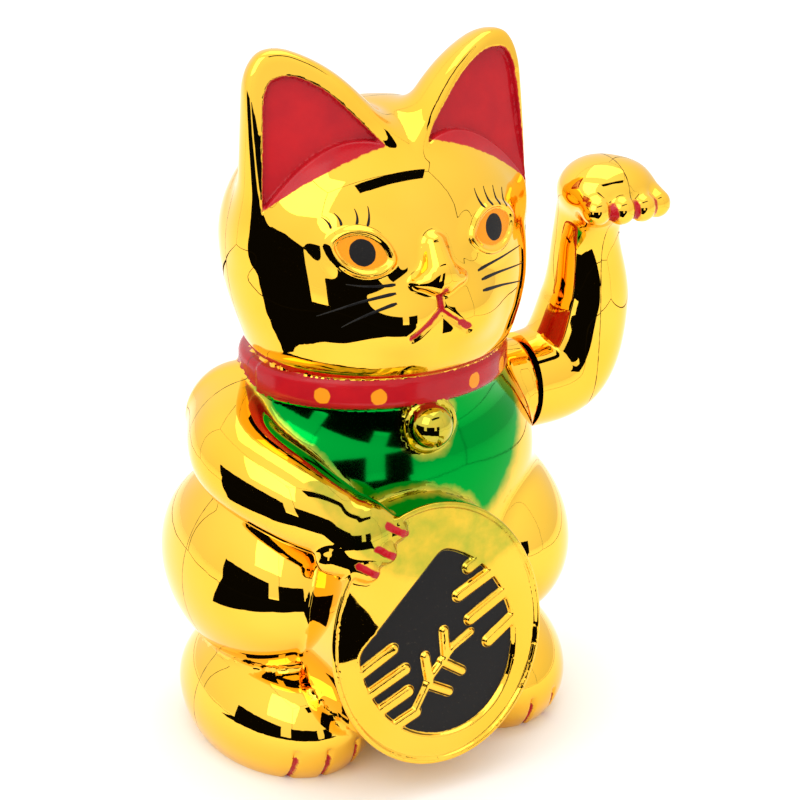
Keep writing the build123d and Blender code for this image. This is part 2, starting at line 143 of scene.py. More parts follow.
def smooth_spans(points):
    """The cubic spans, as powers of t, of a smooth curve through points (x, y, z, r)."""
    p = np.array(points, float)
    p = np.vstack([2 * p[0] - p[1], p, 2 * p[-1] - p[-2]])
    a, b, c, d = p[:-3], p[1:-2], p[2:-1], p[3:]
    return np.stack([b, (c - a) / 2, (2 * a - 5 * b + 4 * c - d) / 2, (3 * b - a - 3 * c + d) / 2], 1)


def along(spans, s):
    """Place, first and second slope of the curve at each s."""
    i = np.clip(s.astype(int), 0, len(spans) - 1)
    t = (s - i)[:, None]
    c = spans[i]
    place = c[:, 0] + t * (c[:, 1] + t * (c[:, 2] + t * c[:, 3]))
    return place, c[:, 1] + t * (2 * c[:, 2] + 3 * t * c[:, 3]), 2 * c[:, 2] + 6 * t * c[:, 3]


def tube(p, points, cuts=5):
    """A limb whose thickness and direction change smoothly through points (x, y, z, r)."""
    spans = smooth_spans(points)
    knots = np.linspace(0, len(spans), len(spans) * cuts + 1)
    path = along(spans, knots)[0]
    reach = path[:, 3].max() + 12
    low, high = path[:, :3].min(0) - reach, path[:, :3].max(0) + reach
    d = length(np.maximum(np.maximum(low - p, p - high), 0)) + 12
    near = np.flatnonzero(d <= 12)
    q = p[near]
    best, s = np.full(len(q), BIG), np.zeros(len(q))
    for k, (a, b) in enumerate(zip(path, path[1:])):
        line = b[:3] - a[:3]
        t = np.clip((q - a[:3]) @ line / (line @ line), 0, 1)
        one = length(q - a[:3] - t[:, None] * line) - (a[3] + (b[3] - a[3]) * t)
        closer = one < best
        best = np.where(closer, one, best)
        s = np.where(closer, knots[k] + t / cuts, s)
    for _ in range(2):
        place, first, second = along(spans, s)
        off, first, second = q - place[:, :3], first[:, :3], second[:, :3]
        size = (first * first).sum(1)
        fall = np.maximum(size - (off * second).sum(1), 0.25 * size)
        s = np.clip(s + np.clip((off * first).sum(1) / fall, -0.12, 0.12), 0, len(spans))
    place = along(spans, s)[0]
    d[near] = length(q - place[:, :3]) - place[:, 3]
    return d


def hump(t):
    """A smooth bump: 1 at 0, and 0 from 1 outwards."""
    t = np.clip(np.abs(t), 0, 1)
    return (1 - t * t) ** 2


def step_up(t):
    """A smooth step from 0 to 1 as t goes from -1 to 1."""
    t = np.clip(t * 0.5 + 0.5, 0, 1)
    return t * t * (3 - 2 * t)


def mirrored(p):
    """The points folded over onto the +X side."""
    side = p.copy()
    side[:, 0] = np.abs(side[:, 0])
    return side


# ---- flat patterns, in the plane that each is seen in ----
def stroke(u, v, points, width):
    """Distance to a line of points with round ends, width wide."""
    best = np.full(u.shape, BIG)
    for (u0, v0), (u1, v1) in zip(points, points[1:]):
        du, dv = u1 - u0, v1 - v0
        t = np.clip(((u - u0) * du + (v - v0) * dv) / (du * du + dv * dv + 1e-9), 0, 1)
        best = np.minimum(best, np.hypot(u - u0 - t * du, v - v0 - t * dv))
    return best - width / 2


def almond(x, z, eye):
    """One eye's outline: two arcs that meet at its corners."""
    at_x, at_z, lean, half_x, half_z = eye
    radius = (half_x ** 2 + half_z ** 2) / (2 * half_z)
    x, z = x - at_x, z - at_z
    c, s = math.cos(lean), math.sin(lean)
    x, z = x * c + z * s, -x * s + z * c
    return smax(np.hypot(x, z - radius + half_z), np.hypot(x, z + radius - half_z), 0.8) - radius


def nearest_eye(p):
    """Distance to the outline of the nearest eye, on the face only."""
    d = np.minimum(*(almond(p[:, 0], p[:, 2], eye) for eye in EYES))
    return np.where(p[:, 1] < -10, d, BIG)


def coin_plane(p):
    """A point's place on the coin: across, up its face, and out of its face."""
    q = p - np.array(COIN_AT, float)
    c, s = math.cos(COIN_TILT), math.sin(COIN_TILT)
    return q[:, 0], q[:, 1] * s + q[:, 2] * c, -(q[:, 1] * c - q[:, 2] * s)


def coin_field(u, v):
    """The coin's sunk black ground: a leaning oval, with plain bars reaching in and a sprig across it."""
    c, s = math.cos(0.3), math.sin(0.3)
    a, b = u * c + (v + 2.0) * s, -u * s + (v + 2.0) * c
    ground = (np.sqrt((a / 17.5) ** 2 + (b / 20.5) ** 2) - 1) * 18
    ground = smax(ground, (v - 16.0 - 0.95 * u) * 0.72, 1.5)
    bars = np.full(u.shape, BIG)
    for i, reach in enumerate((5.5, 10.0, 12.5, 13.0, 14.5)):
        v0 = 2.5 - 4.9 * i
        bars = np.minimum(bars, stroke(u, v, [(-26, v0 - 7.0), (-20 + reach, v0 + 1.0)], 2.2))
    for i, reach in enumerate((12.0, 14.5, 12.0, 8.0)):
        v0 = 15.0 - 5.6 * i
        bars = np.minimum(bars, stroke(u, v, [(27, v0 + 7.5), (20 - reach, v0 - 2.5)], 2.3))
    stem = [(-5.5, -15.5), (-1.5, -9.0), (3.5, -4.0), (8.0, -1.5)]
    sprig = stroke(u, v, stem, 1.3)
    for u0, v0, turn in ((-2.5, -10.7, -0.5), (1.0, -6.4, -0.6), (-2.0, -10.0, 1.7), (2.0, -5.4, 1.6)):
        tip = (u0 + 5.5 * math.cos(turn), v0 + 5.5 * math.sin(turn))
        sprig = np.minimum(sprig, stroke(u, v, [(u0, v0), tip], 1.7))
    return np.maximum(ground, -np.minimum(bars, sprig))


# ---- the body's forms ----
def ear_local(p):
    """A point's place at the nearer ear: across its face, back from it, and up."""
    q = mirrored(p)
    x, y = q[:, 0] - EAR_AT[0], q[:, 1] - EAR_AT[1]
    c, s = math.cos(EAR_YAW), math.sin(EAR_YAW)
    return x * c + y * s, -x * s + y * c, q[:, 2]


def ear_sides(u, z):
    """Distance past the ear's outer and inner edges, melted together at its tip."""
    outer = u - 9.2 + 0.05 * (z - 130)
    inner = -(u + 16) * 0.702 + (z - 131.7) * 0.712
    return smax(outer, inner, 6.0)


def ear_fold(u, rise):
    """The height of the curved fold at the foot of the ear's face."""
    return 131.7 - 0.47 * (u + 16) + rise * (1 - ((u + 3.4) / 12.6) ** 2)


def ear_cut(p):
    """The sunk face of the ear, negative in front of it and inside its edges."""
    u, v, z = ear_local(p)
    right = p[:, 0] > 0
    rim, drop = np.where(right, -0.7, 0.6), np.where(right, 2.0, 3.2)
    outline = smax(np.maximum(ear_sides(u, z) + rim, ear_fold(u, 5.2) - z), z - TOP_Z + drop, 7.0)
    return np.maximum(outline, v - EAR_FACE - EAR_SLOPE * (z - 118) - 1.3)


def ear(p):
    """The ear: a pillowed plate with a leaning flat face."""
    u, v, z = ear_local(p)
    outline = smax(smax(ear_sides(u, z) - 3.4, z - TOP_Z - 1.9, 10.0), 108.0 - z, 6.0)
    pillow = np.hypot(np.maximum(outline + EAR_DEPTH, 0), v - 1.5) - EAR_DEPTH
    face = -(v - EAR_FACE - EAR_SLOPE * (z - 118))
    return smax(pillow, face, 1.2)


def eye_relief(p):
    """How far the face stands out round the eyes: a rim on a shallow swelling."""
    d = nearest_eye(p)
    rim = 0.7 * hump((d - 1.1) / 1.0)
    swell = 0.5 * hump(np.maximum(d, 0) / 5.0)
    return rim + swell


def nose(p):
    """The nose: a leaning bridge that runs down into a tip between two wings."""
    lean = math.radians(20)
    q = p - np.array((0, -27.8, 111.3))
    c, s = math.cos(lean), math.sin(lean)
    y, z = q[:, 1] * c - q[:, 2] * s, q[:, 1] * s + q[:, 2] * c
    bridge = round_cone(np.stack([q[:, 0], y, z], 1), (0, 0.6, 2.4), (0, -0.2, -2.6), 2.5, 3.4)
    side = mirrored(p)
    wing = ellipsoid(side, (2.8, -28.6, NOSE_Z + 1.9), (3.4, 2.8, 1.7))
    tip = ellipsoid(p, (0, -29.8, NOSE_Z + 1.0), (2.6, 2.4, 1.9))
    return smin(bridge, smin(wing, tip, 2.0), 2.4)


def muzzle(p):
    """The two pads beside the mouth."""
    q = mirrored(p)
    return ellipsoid(q, (5.4, -22.5, 98.5), (8.5, 8.0, 6.5))


def jaw(p):
    """The flat-bottomed underside of the head, which rests on the collar."""
    across = np.hypot(p[:, 0] * 25 / 28.4, p[:, 1] + 3.0) - 25
    q = np.stack([across, np.abs(p[:, 2] - 93.0) - 8.2], 1) + 6.5
    return length(np.maximum(q, 0)) + np.minimum(q.max(1), 0) - 6.5


def head(p):
    skull = ellipsoid(p, (0, -0.3, 110.8), (32.9, 26.0, 27.0))
    cheek = ellipsoid(p, (0, -4.0, 99.5), (30.8, 25.5, 21.5))
    d = smin(smin(skull, cheek, 6), jaw(p), 3)
    d = smin(d, muzzle(p), 5)
    d = smin(d, nose(p), 1.2)
    lip = stroke(p[:, 0], p[:, 2], [(0, 105.5), (0, 100.5)], 0.0)
    for x in (-6.5, 5.8):
        lip = np.minimum(lip, stroke(p[:, 0], p[:, 2], [(0, 101.0), (x, 96.2)], 0.0))
    groove = 0.55 * hump(lip / 1.3) * (p[:, 1] < -20)
    return d - eye_relief(p) + groove


def torso(p):
    side = mirrored(p)
    chest = ellipsoid(p, (0, -2, 60), (36, 25, 30))
    belly = ellipsoid(p, (0, 3, 34), (36, 32, 30))
    d = smin(chest, belly, 8)
    d = smin(d, ellipsoid(p, (0, -1, 82), (27.0, 24, 16)), 5)
    d = smin(d, ellipsoid(side, (25.5, 3, 39), (19.2, 30, 22)), 2.2)
    return d


def feet(p):
    side = mirrored(p)
    foot = ellipsoid(side, (23.5, -0.5, 8.8), (19.4, 28.6, 16.6))
    rump = ellipsoid(p, (0, 10, 8), (38.3, 27.4, 18))
    return smin(foot, rump, 4)


TOE_X = (17.5, 24.5, 31.0)


def toe_gaps(p):
    """Distance to the short upright grooves between a foot's toes, seen from the front."""
    q = mirrored(p)
    d = np.full(len(p), BIG)
    for x in TOE_X:
        d = np.minimum(d, stroke(q[:, 0], q[:, 2], [(x, -1.0), (x, 8.0)], 0.0))
    return np.where(p[:, 1] < -12, d, BIG)


COIN_ARM = [(-27, 6, 70.5, 12.5), (-34, -9, 68, 10), (-28.5, -22.5, 63, 9), (-19.5, -31, 57.5, 7)]
PAW_TIPS = [(-12.8, -35.4, 58.4), (-15.8, -36.8, 54.6), (-19.6, -36.8, 51.4)]


def coin_arm(p):
    """The arm that lies across the chest, with its paw on the coin."""
    d = smin(tube(p, COIN_ARM), ellipsoid(p, (-18.6, -32.8, 56.4), (7.0, 4.6, 7.2)), 3.0)
    for x, y, z in PAW_TIPS:
        d = smin(d, round_cone(p, (x - 5.5, y + 4.5, z + 2.5), (x, y, z), 3.8, 2.4), 1.1)
    return d


def coin(p):
    """The leaning oval coin with its rim, its sunk ground and a block behind it."""
    u, v, out = coin_plane(p)
    r = np.sqrt((u / COIN_HALF[0]) ** 2 + (v / COIN_HALF[1]) ** 2)
    side = (r - 1) * 26
    face_high = 3.0 - 0.7 * step_up(-(side + 1.1) / 0.35) - 0.9 * step_up(-coin_field(u, v) / 0.4)
    top = out - face_high
    back = -out - 15.0
    return smax(smax(side, top, 0.6), back, 1.0)


def collar(p):
    """A flat band round the neck, a little thinner behind."""
    r = np.sqrt(p[:, 0] ** 2 + (p[:, 1] * 1.10) ** 2)
    step = 0.6 * step_up((p[:, 1] + 4.0) / 0.5)
    return smax(np.abs(r - 26.4) - 2.8 + step, np.abs(p[:, 2] - COLLAR_Z) - COLLAR_TALL / 2, 2.0) * 0.93


def bell(p):
    """The ball-shaped bell with its slot, and the ring that holds it."""
    ball = ellipsoid(p, BELL_AT, (BELL_R,) * 3)
    q = p - np.array(BELL_AT, float)
    ring = np.hypot(np.hypot(q[:, 0] - 0.9, q[:, 2] + 0.5) - 5.2, q[:, 1] - 2.0) - 0.9
    slot = smax(np.abs(q[:, 0]) - 0.35, np.hypot(q[:, 1] + 3.0, q[:, 2] + 2.6) - 2.2, 0.2)
    return np.minimum(smax(ball, -slot, 0.2), ring)


def shoulder(p):
    """The round stub that the raised arm turns against."""
    r = np.hypot(p[:, 1] - AXIS_Y, p[:, 2] - AXIS_Z)
    return smax(r - 10.3, np.abs(p[:, 0] - SHOULDER_X / 2) - SHOULDER_X / 2, 1.2)


def body(p):
    """The whole outside of the two body shells, without the raised arm."""
    d = smin(torso(p), feet(p), 1.6)
    d = smin(d, shoulder(p), 1.5)
    d = smin(d, coin_arm(p), 1.6)
    d = smin(d, coin(p), 0.8)
    d = smin(d, smin(head(p), ear(p), 3.0), 1.0)
    d = smax(d, -ear_cut(p), 0.4)
    d = smin(d, collar(p), 0.5)
    d = smin(d, bell(p), 0.4)
    groove = 0.7 * hump(toe_gaps(p) / 0.9) * step_up((9.0 - p[:, 2]) / 2.0)
    return d + groove


def hollow(p):
    """The empty inside of the body, a wall's thickness in from its main forms."""
    d = smin(torso(p), feet(p), 1.6)
    d = smin(d, shoulder(p), 1.5)
    d = smin(d, tube(p, COIN_ARM), 1.6)
    d = smin(d, ellipsoid(p, (0, -0.3, 110.8), (32.9, 26.0, 27.0)), 4.0)
    d = smin(d, ellipsoid(p, (0, -4.0, 99.5), (30.8, 25.5, 21.5)), 6.0)
    return d + WALL


WAVE_ARM = [
    (33, 0, 70, 10.5),
    (47, 0, 73.2, 11.0),
    (51.2, -2, 88, 9.7),
    (49.8, -4, 103, 7.3),
    (48.6, -8, 113.6, 7.4),
]
TOES = [(42.6, 0.6), (47.8, -0.8), (52.9, -0.8), (57.4, 0.6)]
PALM = (49.4, -12.0, 115.4)


def palm(p):
    """The raised paw's pad."""
    return ellipsoid(p, PALM, (10.6, 8.8, 6.8))


def wave_arm(p):
    """The raised arm with its paw and four toes."""
    d = smin(tube(p, WAVE_ARM), palm(p), 3)
    for x, dy in TOES:
        toe = round_cone(p, (x * 0.85 + 7.5, -13, 115.2), (x, -19.4 + dy, 112.8), 3.6, 3.1)
        d = smin(d, toe, 0.9)
    return d


def wave_hollow(p):
    """The empty inside of the raised arm, round a solid hub for its shaft."""
    d = smin(tube(p, WAVE_ARM), palm(p), 3) + ARM_WALL
    d = np.maximum(d, ARM_ROOT_X + ARM_WALL - p[:, 0])
    hub = np.maximum(np.hypot(p[:, 1] - AXIS_Y, p[:, 2] - AXIS_Z) - HUB_R, p[:, 0] - HUB_END)
    return np.maximum(d, -hub)


# ---- surfaces from forms ----
def surface_nets(form, low, high, step, block=8):
    """Quads of the surface form = 0. Only the blocks near it are sampled finely."""
    low, high = np.array(low, float), np.array(high, float)
    n = (np.ceil((high - low) / step / block).astype(int)) * block + 1
    axes = [low[i] + step * np.arange(n[i]) for i in range(3)]
    blocks = (n - 1) // block
    middles = [axes[i][:-1].reshape(-1, block)[:, 0] + step * block / 2 for i in range(3)]
    grid = np.stack(np.meshgrid(*middles, indexing="ij"), -1).reshape(-1, 3)
    coarse = form(grid).reshape(blocks)
    value = coarse
    for i in range(3):
        value = np.repeat(value, block, i)
    value = np.pad(value, ((0, 1),) * 3, mode="edge")
    near = np.argwhere(np.abs(coarse) < step * block * 1.3)
    reach = np.arange(block + 1)
    for part in np.array_split(near, max(1, len(near) // 400)):
        shape = (len(part),) + (block + 1,) * 3
        i = np.broadcast_to((part[:, 0, None] * block + reach)[:, :, None, None], shape)
        j = np.broadcast_to((part[:, 1, None] * block + reach)[:, None, :, None], shape)
        k = np.broadcast_to((part[:, 2, None] * block + reach)[:, None, None, :], shape)
        points = np.stack([axes[0][i], axes[1][j], axes[2][k]], -1).reshape(-1, 3)
        value[i, j, k] = form(points).reshape(shape)
    inside = value < 0
    total = np.zeros(tuple(n - 1) + (3,))
    count = np.zeros(tuple(n - 1))
    cuts = []
    for axis in range(3):
        a, b = [slice(None)] * 3, [slice(None)] * 3
        a[axis], b[axis] = slice(0, -1), slice(1, None)
        a, b = tuple(a), tuple(b)
        crossed = inside[a] != inside[b]
        edge = np.argwhere(crossed)
        place = edge.astype(float)
        place[:, axis] += value[a][crossed] / (value[a][crossed] - value[b][crossed])
        u, v = [i for i in range(3) if i != axis]
        for du in (0, 1):
            for dv in (0, 1):
                cell = edge.copy()
                cell[:, u] -= du
                cell[:, v] -= dv
                ok = ((cell >= 0) & (cell < n - 1)).all(1)
                np.add.at(total, tuple(cell[ok].T), place[ok])
                np.add.at(count, tuple(cell[ok].T), 1)
        cuts.append((axis, edge, inside[a][crossed]))
    used = count > 0
    index = -np.ones(tuple(n - 1), int)
    index[used] = np.arange(used.sum())
    verts = low + step * (total[used] / count[used][:, None])
    faces = []
    for axis, edge, first in cuts:
        u, v = [(1, 2), (2, 0), (0, 1)][axis]
        ok = (edge[:, u] > 0) & (edge[:, v] > 0) & (edge[:, u] < n[u] - 1) & (edge[:, v] < n[v] - 1)
        edge, first = edge[ok], first[ok]
        corners = []
        for du, dv in ((1, 1), (0, 1), (0, 0), (1, 0)):
            cell = edge.copy()
            cell[:, u] -= du
            cell[:, v] -= dv
            corners.append(index[tuple(cell.T)])
        quad = np.stack(corners, 1)
        quad[~first] = quad[~first][:, ::-1]
        faces.append(quad)
    return verts, np.concatenate(faces)


def slope(form, v, eps=0.02):
    """The form's gradient at each point."""
    g = np.empty_like(v)
    for i in range(3):
        offset = np.zeros(3)
        offset[i] = eps
        g[:, i] = (form(v + offset) - form(v - offset)) / (2 * eps)
    return g


def settle(form, v, rounds=2):
    """Moves points onto the surface form = 0."""
    for _ in range(rounds):
        g = slope(form, v)
        push = form(v) / np.maximum((g * g).sum(1), 0.05)
        v = v - np.clip(push, -1.0, 1.0)[:, None] * g
    return v


def make_mesh(name, form, low, high, step, detail=()):
    """A closed mesh of a form, in millimetres, with finer quads where detail says, level by level."""
    verts, faces = surface_nets(form, low, high, step)
    verts = settle(form, verts)
    mesh = bpy.data.meshes.new(name)
    mesh.from_pydata(verts.tolist(), [], faces.tolist())
    for wanted in detail:
        bm = bmesh.new()
        bm.from_mesh(mesh)
        bm.faces.ensure_lookup_table()
        centres = np.array([f.calc_center_median() for f in bm.faces])
        pick = np.flatnonzero(wanted(centres))
        edges = list({e for i in pick for e in bm.faces[i].edges})
        before = len(bm.verts)
        bmesh.ops.subdivide_edges(bm, edges=edges, cuts=1, use_grid_fill=True)
        bm.to_mesh(mesh)
        bm.free()
        co = coordinates(mesh)
        co[before:] = settle(form, co[before:])
        mesh.vertices.foreach_set("co", co.ravel())
    return mesh


def coordinates(mesh):
    co = np.empty(len(mesh.vertices) * 3)
    mesh.vertices.foreach_get("co", co)
    return co.reshape(-1, 3)


def add_object(name, mesh):
    obj = bpy.data.objects.new(name, mesh)
    scene.collection.objects.link(obj)
    return obj


def box_mesh(low, high):
    """A closed box between two corners."""
    mesh = bpy.data.meshes.new("cutter")
    bm = bmesh.new()
    bmesh.ops.create_cube(bm, size=1)
    for v in bm.verts:
        for i in range(3):
            v.co[i] = low[i] if v.co[i] < 0 else high[i]
    bm.to_mesh(mesh)
    bm.free()
    return mesh


def rod_mesh(x0, x1, r, sides=48):
    """A solid rod along the raised arm's axis."""
    verts, faces = [], []
    for x in (x0, x1):
        for i in range(sides):
            a = 2 * math.pi * i / sides
            verts.append((x, AXIS_Y + r * math.cos(a), AXIS_Z + r * math.sin(a)))
    for i in range(sides):
        j = (i + 1) % sides
        faces.append((i, j, sides + j, sides + i))
    faces += [tuple(reversed(range(sides))), tuple(range(sides, 2 * sides))]
    mesh = bpy.data.meshes.new("cutter")
    mesh.from_pydata(verts, [], faces)
    return mesh


def cut(name, mesh, *cuts):
    """A mesh after each ("INTERSECT" or "DIFFERENCE", other mesh)."""
    obj = add_object(name, mesh)
    for operation, other in cuts:
        cutter = add_object("cutter", other)
        mod = obj.modifiers.new("cut", "BOOLEAN")
        mod.operation, mod.object, mod.solver = operation, cutter, "MANIFOLD"
        made = bpy.data.meshes.new_from_object(obj.evaluated_get(bpy.context.evaluated_depsgraph_get()))
        obj.modifiers.clear()
        obj.data = made
        bpy.data.objects.remove(cutter)
    return obj


# ---- paint: signed distances to painted areas, kept on the vertices in millimetres ----
def paint_red(p):
    u, v, z = ear_local(p)
    front = np.abs(v - EAR_FACE - EAR_SLOPE * (z - 118) + 1.5) < 4.5
    right = p[:, 0] > 0
    rim, drop = np.where(right, -1.0, 0.3), np.where(right, 1.8, 3.0)
    outline = smax(np.maximum(ear_sides(u, z) + rim, ear_fold(u, 1.6) - z), z - TOP_Z + drop, 7.0)
    d = np.where(front, outline, BIG)
    band = np.abs(p[:, 2] - COLLAR_Z) - COLLAR_TALL / 2 - 0.2
    d = np.minimum(d, np.where(collar(p) < 0.25, band, BIG))
    x, z = p[:, 0], p[:, 2]
    lip = np.minimum(stroke(x, z, [(0, 105.2), (0, 101.0)], 1.3), stroke(x, z, [(0, 101), (-6.7, 96.1)], 1.0))
    lip = np.minimum(lip, stroke(x, z, [(0, 101), (4.5, 97.8)], 0.7))
    lip = np.minimum(lip, stroke(x, z, [(4.2, 98.0), (5.8, 96.9)], 1.5))
    d = np.minimum(d, np.where(p[:, 1] < -20, lip, BIG))
    for x, y, z in PAW_TIPS:
        claw = stroke(p[:, 0], p[:, 2], [(x - 2.6, z + 1.9), (x + 2.0, z - 1.0)], 1.5)
        d = np.minimum(d, claw + 9 * (np.abs(p[:, 1] - y) > 4))
    claws = toe_gaps(p) - 0.45 + np.maximum(p[:, 2] - 6.5, 0)
    return np.minimum(d, claws)


def paint_orange(p):
    d = nearest_eye(p) - 0.1
    angle = np.arctan2(p[:, 0], -p[:, 1])
    pitch = math.radians(24)
    around = (np.mod(angle + pitch / 2, pitch) - pitch / 2) * 28.0
    dots = np.hypot(around, p[:, 2] - COLLAR_Z + 0.4) - 1.7
    dots = np.where((np.abs(angle) > 0.2) & (np.abs(angle) < 1.1), dots, BIG)
    return np.minimum(d, np.where(collar(p) < 0.25, dots, BIG))


def paint_black(p):
    d = np.full(len(p), BIG)
    for x, z in (eye[:2] for eye in EYES):
        pupil = np.hypot((p[:, 0] - x) / PUPIL_HALF[0], (p[:, 2] - z) / PUPIL_HALF[1]) - 1
        d = np.minimum(d, np.where(p[:, 1] < -10, pupil * 2.8, BIG))
    u, v, out = coin_plane(p)
    on_face = (out > 0.6) & (np.abs(coin(p)) < 0.3)
    return np.minimum(d, np.where(on_face, coin_field(u, v) + 0.3, BIG))


def paint_green(p):
    bib = (np.sqrt(((p[:, 0] + 1) / 29.0) ** 2 + ((p[:, 2] - 81) / 34.0) ** 2) - 1) * 27
    bib = np.where((p[:, 1] < -2) & (p[:, 2] < COLLAR_Z), bib, BIG)
    off = np.minimum(coin_arm(p), np.minimum(coin(p), bell(p)))
    return np.maximum(bib, 0.3 - off)


PAINTS = {
    "paint_red": paint_red,
    "paint_orange": paint_orange,
    "paint_black": paint_black,
    "paint_green": paint_green,
}


def add_paint(obj, paints):
    """Stores each paint's distance on the vertices; the mesh is still in millimetres here."""
    p = coordinates(obj.data)
    for name, field in paints.items():
        attribute = obj.data.attributes.new(name, "FLOAT", "POINT")
        attribute.data.foreach_set("value", np.clip(field(p), -20, 20).astype(np.float32))


def finish_piece(obj, body_name, material, replaces=(), sharp=40):
    """Turns a millimetre mesh into a finished piece in metres."""
    obj.data.transform(Matrix.Scale(MM, 4))
    obj.data.shade_smooth()
    obj.data.set_sharp_from_angle(angle=math.radians(sharp))
    obj.data.materials.clear()
    obj.data.materials.append(material)
    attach(obj, body_name)
    if replaces:
        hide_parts(*replaces)
    return obj


# ---- materials ----
class Nodes:
    """A small helper that makes and joins shader nodes."""

    def __init__(self, name):
        self.material = bpy.data.materials.new(name)
        self.material.use_nodes = True
        self.tree = self.material.node_tree
        self.shader = self.tree.nodes["Principled BSDF"]

    def add(self, kind, **settings):
        node = self.tree.nodes.new(kind)
        for key, value in settings.items():
            setattr(node, key, value)
        return node

    def link(self, a, b):
        self.tree.links.new(a, b)

    def put(self, socket, value):
        if isinstance(value, bpy.types.NodeSocket):
            self.link(value, socket)
        else:
            socket.default_value = value

    def noise(self, scale, detail=3.0, rough=0.55):
        place = self.add("ShaderNodeTexCoord")
        node = self.add("ShaderNodeTexNoise")
        self.link(place.outputs["Object"], node.inputs["Vector"])
        node.inputs["Scale"].default_value = scale
        node.inputs["Detail"].default_value = detail
        node.inputs["Roughness"].default_value = rough
        return node.outputs["Fac"]

    def ranged(self, value, low, high, to_low, to_high):
        node = self.add("ShaderNodeMapRange")
        self.put(node.inputs["Value"], value)
        for key, number in (("From Min", low), ("From Max", high), ("To Min", to_low), ("To Max", to_high)):
            self.put(node.inputs[key], number)
        return node.outputs["Result"]

    def math(self, operation, a, b=0.0):
        node = self.add("ShaderNodeMath", operation=operation)
        self.put(node.inputs[0], a)
        self.put(node.inputs[1], b)
        return node.outputs[0]

    def mix(self, factor, a, b):
        node = self.add("ShaderNodeMix", data_type="RGBA")
        self.put(node.inputs[0], factor)
        self.put(node.inputs[6], a)
        self.put(node.inputs[7], b)
        return node.outputs[2]

    def blend(self, factor, a, b):
        node = self.add("ShaderNodeMix", data_type="FLOAT")
        self.put(node.inputs[0], factor)
        self.put(node.inputs[2], a)
        self.put(node.inputs[3], b)
        return node.outputs[0]

    def mask(self, paint, soft, wobble=0.0, scale=600):
        """1 where a paint lies; wobble breaks its edge up, in millimetres."""
        distance = self.add("ShaderNodeAttribute", attribute_name=paint).outputs["Fac"]
        if wobble:
            ragged = self.ranged(self.noise(scale), 0.3, 0.7, -wobble, wobble)
            distance = self.math("ADD", distance, ragged)
        return self.ranged(distance, soft, -soft, 0.0, 1.0)

    def bump(self, height, strength, distance):
        node = self.add("ShaderNodeBump")
        node.inputs["Strength"].default_value = strength
        node.inputs["Distance"].default_value = distance
        self.link(height, node.inputs["Height"])
        self.link(node.outputs["Normal"], self.shader.inputs["Normal"])


GOLD = (0.97, 0.58, 0.065, 1)
GOLD_DEEP = (0.95, 0.53, 0.045, 1)
RED = (0.48, 0.007, 0.012, 1)
RED_DARK = (0.32, 0.004, 0.012, 1)
ORANGE = (0.85, 0.27, 0.0, 1)
GREEN = (0.0, 0.30, 0.03, 1)
BLACK = (0.004, 0.003, 0.003, 1)


def painted_gold(name, paints, seam):
    """Mirror-like gold plating with paint over it; seam is the parting line's (axis, place) in metres."""
    n = Nodes(name)
    tone = n.ranged(n.noise(35, 2), 0.35, 0.65, 0.0, 1.0)
    color = n.mix(tone, GOLD, GOLD_DEEP)
    rough = n.ranged(n.noise(900, 4), 0.3, 0.7, 0.0, 0.03)
    metal = 1.0
    if "paint_green" in paints:
        mask = n.mask("paint_green", 1.6, 0.5, 260)
        color = n.mix(mask, color, GREEN)
        rough = n.blend(mask, rough, 0.09)
    if "paint_red" in paints:
        mask = n.mask("paint_red", 0.12, 0.12, 900)
        shade = n.mix(n.ranged(n.noise(160, 4), 0.3, 0.7, 0.0, 0.6), RED, RED_DARK)
        color = n.mix(mask, color, shade)
        rough = n.blend(mask, rough, 0.16)
        metal = n.blend(mask, metal, 0.0)
    if "paint_orange" in paints:
        mask = n.mask("paint_orange", 0.1, 0.12, 900)
        color = n.mix(mask, color, ORANGE)
        rough = n.blend(mask, rough, 0.3)
        metal = n.blend(mask, metal, 0.0)
    if "paint_black" in paints:
        mask = n.mask("paint_black", 0.06, 0.05, 900)
        speck = n.ranged(n.noise(1500, 5, 0.7), 0.62, 0.75, 0.0, 1.0)
        color = n.mix(mask, color, n.mix(speck, BLACK, (0.05, 0.035, 0.02, 1)))
        rough = n.blend(mask, rough, 0.42)
        metal = n.blend(mask, metal, 0.0)
    place = n.add("ShaderNodeTexCoord")
    axes = n.add("ShaderNodeSeparateXYZ")
    n.link(place.outputs["Object"], axes.inputs[0])
    off = n.math("ABSOLUTE", n.math("SUBTRACT", axes.outputs[seam[0]], seam[1]))
    ragged = n.ranged(n.noise(500, 3), 0.35, 0.65, 0.00004, 0.00013)
    line = n.math("LESS_THAN", off, ragged)
    color = n.mix(line, color, SEAM_DARK)
    rough = n.blend(line, rough, 0.5)
    n.put(n.shader.inputs["Base Color"], color)
    n.put(n.shader.inputs["Roughness"], rough)
    n.put(n.shader.inputs["Metallic"], metal)
    n.shader.inputs["Specular IOR Level"].default_value = 0.25
    n.bump(n.noise(70, 2), 0.05, 0.0006)
    return n.material


def darker(color, share):
    return tuple(c * share for c in color[:3]) + (1,)


def moulded_plastic(name, color, rough=0.45, grain=1400):
    """Plastic straight from a mould, with a fine grain."""
    n = Nodes(name)
    n.put(n.shader.inputs["Base Color"], n.mix(n.noise(180, 4), color, darker(color, 0.8)))
    n.put(n.shader.inputs["Roughness"], n.ranged(n.noise(grain, 3), 0.3, 0.7, rough - 0.08, rough + 0.1))
    n.bump(n.noise(grain, 3), 0.18, 0.0001)
    return n.material


